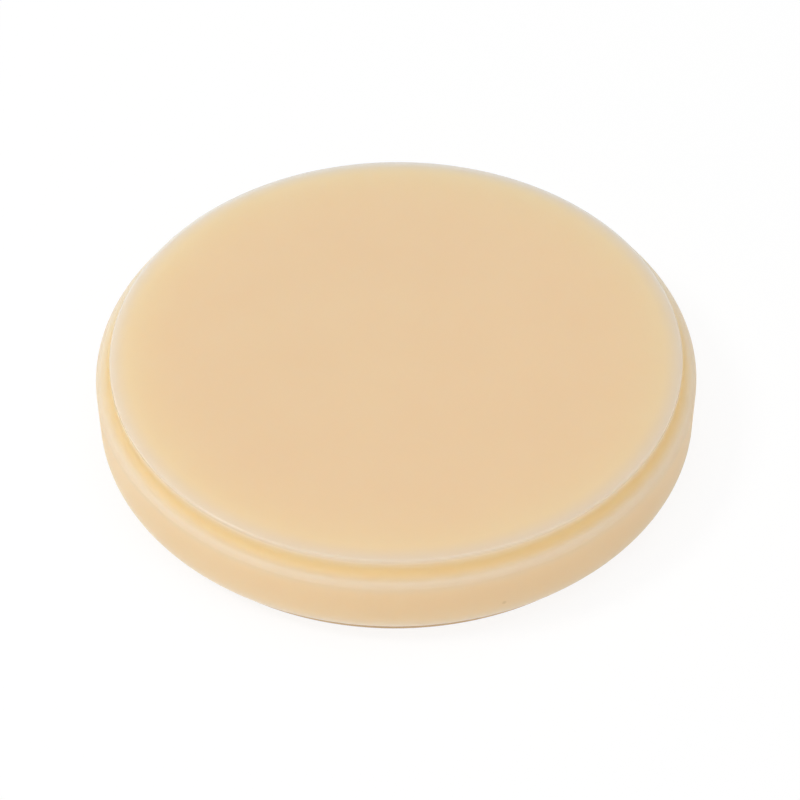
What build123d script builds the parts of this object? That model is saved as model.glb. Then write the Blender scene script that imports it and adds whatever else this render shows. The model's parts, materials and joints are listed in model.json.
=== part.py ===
from build123d import *
import os

# Dental milling disc: a round blank of tooth-coloured acrylic, from which crowns and
# dentures are cut. It is one piece, cast as a puck with rounded edges and then turned
# on both sides. The collar round its middle is what the holder of a milling machine
# clamps, and a round face stands proud of the collar on each side. Millimetres, +Z up,
# with the origin at the centre of the lower face, on which the disc rests.

# Collar, of the diameter and height that open holders take
collar_diameter = 98.5
collar_height = 10.0
collar_edge_radius = 1.0

# Raised faces, the same above and below the collar, with the sharpness off their edges
shoulder_width = 2.5
face_rise = 3.0
face_edge_chamfer = 0.2

# The most of a wall that the rounding or chamfer at one of its two ends may take up
end_share = 0.45

# Radii from the axis, and heights above the lower face
collar_radius = collar_diameter / 2
face_radius = collar_radius - shoulder_width
lower_shoulder_z = face_rise
upper_shoulder_z = lower_shoulder_z + collar_height
upper_face_z = upper_shoulder_z + face_rise


def within(size, *walls):
    """The size of a rounding or chamfer, as far as the walls that meet there have room."""
    return min(size, end_share * min(walls))


def make_half_section():
    """The section on one side of the axis, which steps out to the collar and in again."""
    with BuildSketch(Plane.XZ) as section:
        with BuildLine():
            Polyline(
                (0, 0),
                (face_radius, 0),
                (face_radius, lower_shoulder_z),
                (collar_radius, lower_shoulder_z),
                (collar_radius, upper_shoulder_z),
                (face_radius, upper_shoulder_z),
                (face_radius, upper_face_z),
                (0, upper_face_z),
                close=True,
            )
        make_face()
        step_corners = section.vertices().group_by(Axis.X)[1].sort_by(Axis.Y)
        face_corners = [step_corners.first, step_corners.last]
        chamfer(face_corners, within(face_edge_chamfer, face_rise, face_radius))
        collar_corners = section.vertices().group_by(Axis.X)[-1]
        fillet(collar_corners, within(collar_edge_radius, shoulder_width, collar_height))
    return section.sketch


def make_milling_disc():
    """The whole disc, its section turned about the axis."""
    with BuildPart() as disc:
        add(make_half_section())
        revolve(axis=Axis.Z)
    return disc.part


os.makedirs("parts", exist_ok=True)
export_step(make_milling_disc(), "parts/milling_disc.step")
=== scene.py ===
import json
import math

import bpy
from mathutils import Euler, Matrix, Vector

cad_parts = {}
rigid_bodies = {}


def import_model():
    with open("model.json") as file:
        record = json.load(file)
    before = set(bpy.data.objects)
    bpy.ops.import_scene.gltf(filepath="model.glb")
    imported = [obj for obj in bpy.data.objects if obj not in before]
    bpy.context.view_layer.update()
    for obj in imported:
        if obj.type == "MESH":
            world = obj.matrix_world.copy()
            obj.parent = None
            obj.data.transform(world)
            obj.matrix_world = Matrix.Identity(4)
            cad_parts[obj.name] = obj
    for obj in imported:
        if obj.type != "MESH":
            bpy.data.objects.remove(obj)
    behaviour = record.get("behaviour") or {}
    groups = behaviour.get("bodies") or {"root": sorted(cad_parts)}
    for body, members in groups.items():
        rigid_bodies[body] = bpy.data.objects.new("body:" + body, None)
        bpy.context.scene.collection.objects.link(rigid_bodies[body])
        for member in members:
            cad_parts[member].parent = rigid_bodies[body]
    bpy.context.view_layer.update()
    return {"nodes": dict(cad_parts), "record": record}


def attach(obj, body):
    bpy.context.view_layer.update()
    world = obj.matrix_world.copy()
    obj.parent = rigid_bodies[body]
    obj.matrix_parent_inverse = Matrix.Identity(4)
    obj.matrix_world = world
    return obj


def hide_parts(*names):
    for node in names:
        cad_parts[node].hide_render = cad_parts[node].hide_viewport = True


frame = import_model()

MM = 0.001

# How near a point lies to the place that it is looked for at
CLOSE = 0.02 * MM

# Sizes of the disc, from the frame
disc_node = frame["nodes"]["milling_disc"]
mounts = {mount["name"]: mount for mount in frame["record"]["mounts"]}
lower_face_z = mounts["lower_face"]["pos_m"][2]
lower_shoulder_z = mounts["lower_shoulder"]["pos_m"][2]
upper_shoulder_z = mounts["upper_shoulder"]["pos_m"][2]
upper_face_z = mounts["upper_face"]["pos_m"][2]
collar_radius = mounts["collar"]["dims"]["r_mm"] * MM
collar_height = upper_shoulder_z - lower_shoulder_z
collar_edge_radius = (collar_height - mounts["collar"]["dims"]["length_mm"] * MM) / 2
face_radius = max(
    math.hypot(*vertex.co.xy)
    for vertex in disc_node.data.vertices
    if vertex.co.z > upper_shoulder_z + CLOSE
)
shoulder_width = collar_radius - face_radius

# The middle of the collar, and how far the shoulders and the faces are from it
middle_z = (lower_shoulder_z + upper_shoulder_z) / 2
shoulder_rise = upper_shoulder_z - middle_z
face_rise = upper_face_z - middle_z

# Rounding of the crisp edges, and how finely the turned form is divided
FACE_EDGE_RADIUS = 0.25 * MM
ROOT_RADIUS = 1.2 * MM
STEPS_AROUND = 360
COLLAR_EDGE_STEPS = 12
FACE_EDGE_STEPS = 5
ROOT_STEPS = 6
ROUND_PROFILE = 0.5

# How the flat end of the disc is told from its many narrow side faces
LEVEL_NORMAL_Z = 0.99
SIDE_FACE_CORNERS = 4

# How much the wide faces lead the small ones in the smooth shading
WIDE_FACE_LEAD = 100

# Colours of the acrylic: clouded a little in its body. Over it lie painted light and shade:
# the side of the collar a touch deeper and the roots of the steps amber, painted where light
# comes out of them, the edges paler as painted light, and the rim that it rests on deepest,
# as painted shade
BODY_LIGHT = "f3d7ae"
BODY_DEEP = "f1d3a9"
COLLAR_PAINTED_SHADE = "f2d1a9"
COLLAR_EDGE_PAINTED_LIGHT = "e3ccaf"
FACE_EDGE_PAINTED_LIGHT = "e8cfb1"
ROOT_PAINTED_AMBER = "f2d4a6"
LOWER_RIM_PAINTED_SHADE = "dfb072"

# Where in the section the painted light and shade are centred, from the corner that each belongs to
COLLAR_TINT_INSET = 1.5 * collar_edge_radius
FACE_TINT_INSET = FACE_EDGE_RADIUS
ROOT_TINT_RISE = ROOT_RADIUS / 3

# How far from its centre each painted tint has faded out, and how far the painted shade round the
# lower rim stays full
EDGE_TINT_REACH = 3 * MM
ROOT_TINT_REACH = 2.4 * MM
LOWER_RIM_FULL = 1 * MM

# A faint speck of darker pigment in the side of the collar, at the front right: degrees
# round from the right, height, and the part in the middle where it is darkest
SPECK_AZIMUTH = -70.6
SPECK_HEIGHT = 5.85 * MM
SPECK_RADIUS = 0.5 * MM
SPECK_CORE = 0.3 * SPECK_RADIUS
SPECK_BROWN = "e4c296"

# Unevenness of the acrylic: the size of its largest lumps, and how many times finer ones
# are laid over them
CLOUD_SIZE = 14 * MM
CLOUD_DETAIL = 3.0
RIPPLE_SIZE = 5 * MM
RIPPLE_DETAIL = 2.0
SMEAR_SIZE = 12 * MM
SMEAR_DETAIL = 4.0

# Relief of the surface: the rings that turning leaves are finer than this pitch on the
# real disc and wouldn't show, so they are drawn coarser
RING_PITCH = 0.8 * MM
RING_DEPTH = 0.0006 * MM
RIPPLE_DEPTH = 0.003 * MM

# Gloss of the turned faces and of the cast collar
ACRYLIC_IOR = 1.49
FACE_ROUGHNESS = 0.2
COLLAR_ROUGHNESS = 0.55
ROUGHNESS_SPREAD = 0.03

# How far light scatters inside, for red, green and blue
SCATTER_RADII = (1.0, 0.9, 0.8)
SCATTER_SCALE = 20 * MM

# Numbers of the colour sockets on a Mix node
MIX_BELOW = 6
MIX_ABOVE = 7
MIX_RESULT = 2

# The camera, set by the outline of the disc in the photograph, with angles in degrees
PHOTO_WIDTH_PX = 800
FOCAL_LENGTH_PX = 2500
CAMERA_ELEVATION = 45.2
CAMERA_ROLL = 0.4
CAMERA_DISTANCE = 411.1 * MM
CAMERA_AIM = Vector((0.6, -4.7, 8.0)) * MM
SENSOR_WIDTH_MM = 36

# The table, in metres, a hair below the disc so that the two faces don't coincide
TABLE_SIZE = 6.0
TABLE_GAP = 0.02 * MM
TABLE_WHITE = "fafafa"

# The white room, and the light that comes up through the table
ROOM_STRENGTH = 0.45
TABLE_GLOW = 0.17
TABLE_WHITENESS = 0.84

# Softboxes: degrees round from the right and up from the table, width and height in
# metres, and watts, all at one distance in metres
LAMP_DISTANCE = 1.2
SOFTBOXES = {
    "key_softbox": (188, 53, 0.26, 0.3, 3.4),
    "front_softbox": (228, 12, 2.4, 0.4, 1.4),
    "fill_softbox": (316, 40, 0.2, 0.3, 0.4),
    "top_softbox": (0, 90, 1.2, 1.2, 3.9),
}


def linear(hex_colour):
    """The linear RGBA of an sRGB colour such as "e6caa3"."""
    channels = [int(hex_colour[i:i + 2], 16) / 255 for i in (0, 2, 4)]
    return [
        channel / 12.92 if channel <= 0.04045 else ((channel + 0.055) / 1.055) ** 2.4
        for channel in channels
    ] + [1.0]


def add_node(tree, kind, settings=None, links=None):
    """Adds a node, sets its properties and its sockets by name or number, and links it."""
    node = tree.nodes.new(kind)
    for name, value in (settings or {}).items():
        if isinstance(name, int) or name in node.inputs:
            node.inputs[name].default_value = value
        else:
            setattr(node, name, value)
    for name, source in (links or {}).items():
        tree.links.new(source, node.inputs[name])
    return node


def start_material(name):
    """A material with an empty node tree."""
    material = bpy.data.materials.new(name)
    material.use_nodes = True
    material.node_tree.nodes.clear()
    return material, material.node_tree


def deselect_all():
    for thing in bpy.context.view_layer.objects:
        thing.select_set(False)


def select_rings(piece, radius, *heights):
    """Selects, in edit mode, the rings of edges at a radius from the axis and at heights."""
    bpy.ops.mesh.select_mode(type="EDGE")
    bpy.ops.mesh.select_all(action="DESELECT")
    bpy.ops.object.mode_set(mode="OBJECT")
    vertices = piece.data.vertices
    for edge in piece.data.edges:
        ends = [vertices[i].co for i in edge.vertices]
        edge.select = any(
            all(
                abs(math.hypot(end.x, end.y) - radius) < CLOSE and abs(end.z - height) < CLOSE
                for end in ends
            )
            for height in heights
        )
    bpy.ops.object.mode_set(mode="EDIT")


def select_cap(piece, height):
    """Selects, in edit mode, the flat face that closes the disc at a height."""
    bpy.ops.mesh.select_mode(type="FACE")
    bpy.ops.mesh.select_all(action="DESELECT")
    bpy.ops.object.mode_set(mode="OBJECT")
    for face in piece.data.polygons:
        is_level = abs(face.normal.z) > LEVEL_NORMAL_Z
        is_end = is_level and len(face.vertices) > SIDE_FACE_CORNERS
        face.select = is_end and abs(face.center.z - height) < CLOSE
    bpy.ops.object.mode_set(mode="EDIT")


def round_rings(piece, ring_radius, heights, edge_radius, steps):
    """Rounds, in edit mode, the rings of edges at a radius from the axis and at heights."""
    select_rings(piece, ring_radius, *heights)
    bpy.ops.mesh.bevel(
        offset=edge_radius,
        offset_type="OFFSET",
        segments=steps,
        profile=ROUND_PROFILE,
        affect="EDGES",
    )


def make_disc():
    """The blank: a cylinder for the collar, with each end stepped in and drawn out."""
    deselect_all()
    bpy.ops.mesh.primitive_cylinder_add(
        vertices=STEPS_AROUND,
        radius=collar_radius,
        depth=collar_height,
        location=(0, 0, middle_z),
    )
    disc = bpy.context.object
    disc.name = "acrylic_disc"
    disc.data.name = "acrylic_disc"
    bpy.ops.object.transform_apply(location=True, rotation=True, scale=True)
    shoulders = (upper_shoulder_z, lower_shoulder_z)
    faces = (upper_face_z, lower_face_z)
    bpy.ops.object.mode_set(mode="EDIT")
    for shoulder_z, face_z in zip(shoulders, faces):
        select_cap(disc, shoulder_z)
        bpy.ops.mesh.inset(thickness=shoulder_width)
        bpy.ops.mesh.extrude_region_move(
            TRANSFORM_OT_translate={"value": (0, 0, face_z - shoulder_z)}
        )
    round_rings(disc, collar_radius, shoulders, collar_edge_radius, COLLAR_EDGE_STEPS)
    round_rings(disc, face_radius, shoulders, ROOT_RADIUS, ROOT_STEPS)
    round_rings(disc, face_radius, faces, FACE_EDGE_RADIUS, FACE_EDGE_STEPS)
    bpy.ops.object.mode_set(mode="OBJECT")
    bpy.ops.object.shade_smooth()
    bpy.ops.object.modifier_add(type="WEIGHTED_NORMAL")
    shading = disc.modifiers[-1]
    shading.weight = WIDE_FACE_LEAD
    bpy.ops.object.modifier_apply(modifier=shading.name)
    return disc


def section_of(tree, place):
    """Where a point lies in the section of the disc.

    Gives its radius from the axis, its height above or below the middle, and the two as
    a vector, once with the lower half as it is and once folded up onto the upper half.
    """
    xyz = add_node(tree, "ShaderNodeSeparateXYZ", {}, {0: place})
    across = add_node(tree, "ShaderNodeCombineXYZ", {}, {0: xyz.outputs[0], 1: xyz.outputs[1]})
    radius = add_node(
        tree, "ShaderNodeVectorMath", {"operation": "LENGTH"}, {0: across.outputs[0]}
    ).outputs["Value"]
    above = add_node(
        tree, "ShaderNodeMath", {"operation": "SUBTRACT", 1: middle_z}, {0: xyz.outputs[2]}
    ).outputs[0]
    height = add_node(tree, "ShaderNodeMath", {"operation": "ABSOLUTE"}, {0: above}).outputs[0]
    whole = add_node(tree, "ShaderNodeCombineXYZ", {}, {0: radius, 1: above}).outputs[0]
    folded = add_node(tree, "ShaderNodeCombineXYZ", {}, {0: radius, 1: height}).outputs[0]
    return radius, height, whole, folded


def nearness(tree, point, centre, full, reach):
    """1 up to the distance full from a centre, falling to 0 at the distance reach."""
    away = add_node(tree, "ShaderNodeVectorMath", {"operation": "DISTANCE", 1: centre}, {0: point})
    return add_node(
        tree,
        "ShaderNodeMapRange",
        {
            "interpolation_type": "SMOOTHSTEP",
            "From Min": full,
            "From Max": reach,
            "To Min": 1.0,
            "To Max": 0.0,
        },
        {"Value": away.outputs["Value"]},
    ).outputs["Result"]


def acrylic_colour_with_painted_light(tree, place, radius, whole, folded, clouds):
    """The colour of the acrylic: its clouded body, with painted light and shade and a speck laid over
    it in turn.
    """
    face_edge = (face_radius - FACE_TINT_INSET, face_rise, 0)
    root = (face_radius, shoulder_rise + ROOT_TINT_RISE, 0)
    collar_edge = (collar_radius - COLLAR_TINT_INSET, shoulder_rise, 0)
    lower_rim = (face_radius, lower_face_z - middle_z, 0)
    azimuth = math.radians(SPECK_AZIMUTH)
    speck = (collar_radius * math.cos(azimuth), collar_radius * math.sin(azimuth), SPECK_HEIGHT)
    on_collar = add_node(
        tree,
        "ShaderNodeMapRange",
        {"interpolation_type": "SMOOTHSTEP", "From Min": face_radius, "From Max": collar_radius},
        {"Value": radius},
    ).outputs["Result"]
    colour = add_node(
        tree,
        "ShaderNodeMix",
        {"data_type": "RGBA", MIX_BELOW: linear(BODY_LIGHT), MIX_ABOVE: linear(BODY_DEEP)},
        {0: clouds},
    ).outputs[MIX_RESULT]
    for share, tint in (
        # Painted shade: the side of the collar a touch deeper than the faces
        (on_collar, COLLAR_PAINTED_SHADE),
        # Painted light: the rounded edge of the collar paler
        (nearness(tree, folded, collar_edge, 0, EDGE_TINT_REACH), COLLAR_EDGE_PAINTED_LIGHT),
        # Painted light: the edge of each face paler
        (nearness(tree, folded, face_edge, 0, EDGE_TINT_REACH), FACE_EDGE_PAINTED_LIGHT),
        # Painted amber in the roots of the steps, standing in for the light that bounces and scatters
        # there
        (nearness(tree, folded, root, 0, ROOT_TINT_REACH), ROOT_PAINTED_AMBER),
        # Painted shade: the lower rim that the disc rests on, deep amber all round
        (nearness(tree, whole, lower_rim, LOWER_RIM_FULL, EDGE_TINT_REACH), LOWER_RIM_PAINTED_SHADE),
        (nearness(tree, place, speck, SPECK_CORE, SPECK_RADIUS), SPECK_BROWN),
    ):
        colour = add_node(
            tree,
            "ShaderNodeMix",
            {"data_type": "RGBA", MIX_ABOVE: linear(tint)},
            {0: share, MIX_BELOW: colour},
        ).outputs[MIX_RESULT]
    return colour


def rough_acrylic(tree, height, smears):
    """The roughness of the acrylic, from the dull collar to the glossier faces."""
    gloss = add_node(
        tree,
        "ShaderNodeMapRange",
        {
            "interpolation_type": "SMOOTHSTEP",
            "From Min": shoulder_rise + ROOT_RADIUS,
            "From Max": face_rise - FACE_EDGE_RADIUS,
            "To Min": COLLAR_ROUGHNESS,
            "To Max": FACE_ROUGHNESS,
        },
        {"Value": height},
    ).outputs["Result"]
    wear = add_node(
        tree,
        "ShaderNodeMapRange",
        {"To Min": -ROUGHNESS_SPREAD, "To Max": ROUGHNESS_SPREAD},
        {"Value": smears},
    ).outputs["Result"]
    return add_node(tree, "ShaderNodeMath", {"operation": "ADD"}, {0: gloss, 1: wear}).outputs[0]


def turn_acrylic(tree, radius, height, ripples):
    """The relief of the acrylic: shallow rings left by the tool, and soft ripples."""
    along = add_node(tree, "ShaderNodeMath", {"operation": "ADD"}, {0: radius, 1: height})
    phase = add_node(
        tree,
        "ShaderNodeMath",
        {"operation": "MULTIPLY", 1: 2 * math.pi / RING_PITCH},
        {0: along.outputs[0]},
    )
    rings = add_node(tree, "ShaderNodeMath", {"operation": "SINE"}, {0: phase.outputs[0]})
    turned = add_node(
        tree,
        "ShaderNodeBump",
        {"Strength": 1.0, "Distance": RING_DEPTH},
        {"Height": rings.outputs[0]},
    )
    return add_node(
        tree,
        "ShaderNodeBump",
        {"Strength": 1.0, "Distance": RIPPLE_DEPTH},
        {"Height": ripples, "Normal": turned.outputs[0]},
    ).outputs[0]


def make_acrylic():
    """Cast acrylic, tooth-coloured, with its faces turned and its collar left as cast.

    Light sinks in a few millimetres and comes out again, which pales the edges and deepens
    the roots of the steps; the colour also carries painted light and shade for this: paler
    edges, amber roots, a deeper collar and a deep amber painted shade round the lower rim.
    The turned faces have a low gloss with hardly visible rings, and the cast collar is duller.
    """
    material, tree = start_material("cast_acrylic_turned")
    place = add_node(tree, "ShaderNodeTexCoord").outputs["Object"]
    radius, height, whole, folded = section_of(tree, place)
    clouds, ripples, smears = (
        add_node(
            tree, "ShaderNodeTexNoise", {"Scale": 1 / size, "Detail": detail}, {"Vector": place}
        ).outputs[0]
        for size, detail in (
            (CLOUD_SIZE, CLOUD_DETAIL),
            (RIPPLE_SIZE, RIPPLE_DETAIL),
            (SMEAR_SIZE, SMEAR_DETAIL),
        )
    )
    shader = add_node(
        tree,
        "ShaderNodeBsdfPrincipled",
        {
            "IOR": ACRYLIC_IOR,
            "Subsurface Weight": 1.0,
            "Subsurface Radius": SCATTER_RADII,
            "Subsurface Scale": SCATTER_SCALE,
            "subsurface_method": "RANDOM_WALK",
        },
        {
            "Base Color": acrylic_colour_with_painted_light(tree, place, radius, whole, folded, clouds),
            "Roughness": rough_acrylic(tree, height, smears),
            "Normal": turn_acrylic(tree, radius, height, ripples),
        },
    )
    add_node(tree, "ShaderNodeOutputMaterial", {}, {"Surface": shader.outputs["BSDF"]})
    return material


def seen_directly(tree):
    """1 for what the camera sees, straight, mirrored or through glass, and 0 for what lights."""
    path = add_node(tree, "ShaderNodeLightPath")
    seen = path.outputs["Is Camera Ray"]
    for kind in ("Is Glossy Ray", "Is Transmission Ray"):
        seen = add_node(
            tree, "ShaderNodeMath", {"operation": "MAXIMUM"}, {0: seen, 1: path.outputs[kind]}
        ).outputs[0]
    return seen


def make_floor():
    """A white table top, far wider than the disc, with a little light behind it."""
    deselect_all()
    bpy.ops.mesh.primitive_plane_add(size=TABLE_SIZE, location=(0, 0, lower_face_z - TABLE_GAP))
    floor = bpy.context.object
    floor.name = "floor"
    material, tree = start_material("white_table")
    card = add_node(tree, "ShaderNodeBsdfDiffuse", {"Color": linear(TABLE_WHITE)})
    glow = add_node(tree, "ShaderNodeEmission", {"Strength": TABLE_GLOW})
    lit = add_node(tree, "ShaderNodeAddShader", {}, {0: card.outputs[0], 1: glow.outputs[0]})
    white = add_node(tree, "ShaderNodeEmission", {"Strength": 1.0})
    share = add_node(
        tree,
        "ShaderNodeMath",
        {"operation": "MULTIPLY", 1: TABLE_WHITENESS},
        {0: seen_directly(tree)},
    )
    mixed = add_node(
        tree,
        "ShaderNodeMixShader",
        {},
        {0: share.outputs[0], 1: lit.outputs[0], 2: white.outputs[0]},
    )
    add_node(tree, "ShaderNodeOutputMaterial", {}, {"Surface": mixed.outputs[0]})
    floor.data.materials.append(material)


def add_softbox(name, azimuth, elevation, width, height, watts):
    """A lamp that faces the disc from a direction, in degrees."""
    azimuth, elevation = math.radians(azimuth), math.radians(elevation)
    direction = Vector(
        (
            math.cos(azimuth) * math.cos(elevation),
            math.sin(azimuth) * math.cos(elevation),
            math.sin(elevation),
        )
    )
    lamp = bpy.data.lights.new(name, "AREA")
    lamp.shape = "RECTANGLE"
    lamp.size, lamp.size_y = width, height
    lamp.energy = watts
    softbox = bpy.data.objects.new(name, lamp)
    softbox.location = direction * LAMP_DISTANCE
    softbox.rotation_mode = "QUATERNION"
    softbox.rotation_quaternion = direction.to_track_quat("Z", "Y")
    bpy.context.scene.collection.objects.link(softbox)


def make_studio():
    """White surroundings, and softboxes that light the disc evenly."""
    world = bpy.data.worlds.new("studio")
    bpy.context.scene.world = world
    world.use_nodes = True
    tree = world.node_tree
    tree.nodes.clear()
    strength = add_node(
        tree, "ShaderNodeMapRange", {"To Min": ROOM_STRENGTH, "To Max": 1.0}, {0: seen_directly(tree)}
    )
    room = add_node(
        tree,
        "ShaderNodeBackground",
        {"Color": (1, 1, 1, 1)},
        {"Strength": strength.outputs[0]},
    )
    add_node(tree, "ShaderNodeOutputWorld", {}, {"Surface": room.outputs[0]})
    for name, settings in SOFTBOXES.items():
        add_softbox(name, *settings)


def make_camera():
    """A long lens that looks down on the disc from the front."""
    elevation, roll = math.radians(CAMERA_ELEVATION), math.radians(CAMERA_ROLL)
    back = Vector((0, -math.cos(elevation), math.sin(elevation)))
    lens = bpy.data.cameras.new("camera")
    lens.sensor_width = SENSOR_WIDTH_MM
    lens.lens = FOCAL_LENGTH_PX * SENSOR_WIDTH_MM / PHOTO_WIDTH_PX
    camera = bpy.data.objects.new("camera", lens)
    bpy.context.scene.collection.objects.link(camera)
    upright = Euler((math.pi / 2 - elevation, 0, 0)).to_matrix()
    camera.rotation_euler = (upright @ Matrix.Rotation(-roll, 3, "Z")).to_euler()
    camera.location = CAMERA_AIM + back * CAMERA_DISTANCE
    bpy.context.scene.camera = camera


make_camera()
make_studio()
make_floor()
disc = make_disc()
disc.data.materials.append(make_acrylic())
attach(disc, "root")
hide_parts("milling_disc")

bpy.context.scene.view_settings.view_transform = "Standard"
